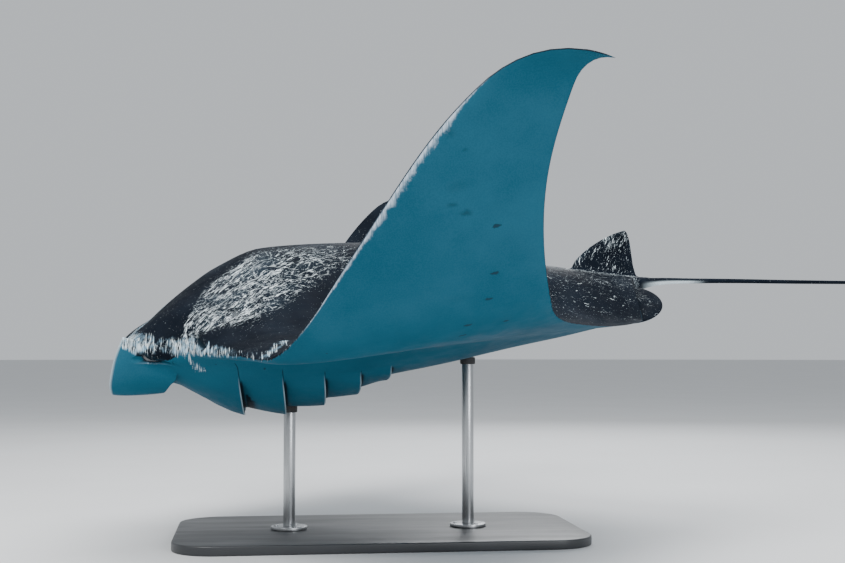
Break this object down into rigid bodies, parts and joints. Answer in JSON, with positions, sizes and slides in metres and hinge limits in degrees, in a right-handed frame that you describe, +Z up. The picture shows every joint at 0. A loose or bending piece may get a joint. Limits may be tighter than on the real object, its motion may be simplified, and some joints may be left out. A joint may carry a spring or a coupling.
{
  "type": "manta ray model",
  "caption": "Life-size reef manta ray gliding with both pectoral fins swept up, mouth just open and cephalic fins lowered, held over a flat base by plain upright rods",
  "frame": {"origin": "centre of the underside of the stand's base, on the floor", "axes": "+X to the animal's left, +Y towards its tail, +Z up"},
  "size_m": [2.7162, 2.847, 1.1257],
  "materials": {
    "skin_back": "smooth damp hide, blue-black with paler mottled shoulders",
    "skin_belly": "smooth damp hide, pale cool grey with a few dark spots",
    "eye": "clear gloss over a dark iris",
    "stand_board": "dark satin lacquer on a solid board",
    "stand_steel": "brushed, satin"
  },
  "bodies": {
    "root": {"head": "skin_back", "lower_jaw": "skin_belly", "eye_left": "eye", "eye_right": "eye", "trunk_front": "skin_back", "gills_left": "skin_belly", "gills_right": "skin_belly", "trunk_rear": "skin_back", "pectoral_fin_left_inner": "skin_back", "pectoral_fin_left_middle": "skin_back", "pectoral_fin_left_outer": "skin_back", "pectoral_fin_right_inner": "skin_back", "pectoral_fin_right_middle": "skin_back", "pectoral_fin_right_outer": "skin_back", "tail_base": "skin_back", "tail_front": "skin_back", "tail_middle": "skin_back", "tail_tip": "skin_back", "dorsal_fin": "skin_back", "pelvic_fin_left": "skin_belly", "pelvic_fin_right": "skin_belly", "cephalic_fin_left": "skin_belly", "cephalic_fin_right": "skin_belly", "stand_base": "stand_board", "stand_flange_front": "stand_steel", "stand_flange_rear": "stand_steel", "stand_rod_front": "stand_steel", "stand_rod_rear": "stand_steel"}
  },
  "joints": []
}
